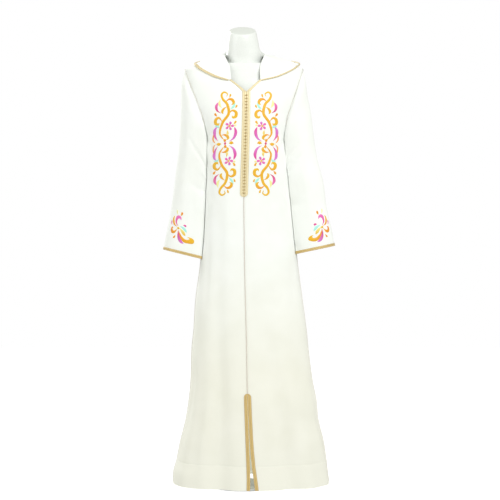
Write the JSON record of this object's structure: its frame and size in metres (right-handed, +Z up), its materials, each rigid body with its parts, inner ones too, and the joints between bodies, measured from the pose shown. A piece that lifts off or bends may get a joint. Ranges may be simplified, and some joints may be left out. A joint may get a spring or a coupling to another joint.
{
  "type": "hooded djellaba robe standing on a limbless dress form",
  "caption": "Full-length hooded robe with long wide sleeves and a braided front closure, filled out on a headless, limbless dress form with a pole and a round base.",
  "frame": {"origin": "on the floor, at the middle of the stand's base and on the axis of its pole", "axes": "+Z up, -Y the way the robe's front faces, +X towards the wearer's left"},
  "size_m": [0.6089, 0.3891, 1.6213],
  "materials": {
    "ivory_crepe": "matt woven crepe",
    "gold_braid": "plaited metallic thread",
    "beige_cord": "twisted silk cord",
    "white_form": "satin",
    "brushed_steel": "brushed"
  },
  "bodies": {
    "root": {"front_right": "ivory_crepe", "front_left": "ivory_crepe", "back": "ivory_crepe", "sleeve_right": "ivory_crepe", "sleeve_left": "ivory_crepe", "hood": "ivory_crepe", "hood_braid": "gold_braid", "neck_braid_right": "gold_braid", "neck_braid_left": "gold_braid", "closure_braid_right": "gold_braid", "closure_braid_left": "gold_braid", "button_row": "gold_braid", "cuff_braid_right": "gold_braid", "cuff_braid_left": "gold_braid", "slit_braid_right": "gold_braid", "slit_braid_left": "gold_braid", "centre_cord": "beige_cord", "armhole_cord_right": "beige_cord", "armhole_cord_left": "beige_cord", "side_cord_right": "beige_cord", "side_cord_left": "beige_cord", "form_torso": "white_form", "form_neck": "white_form", "stand_pole": "brushed_steel", "stand_base": "brushed_steel"}
  },
  "joints": []
}
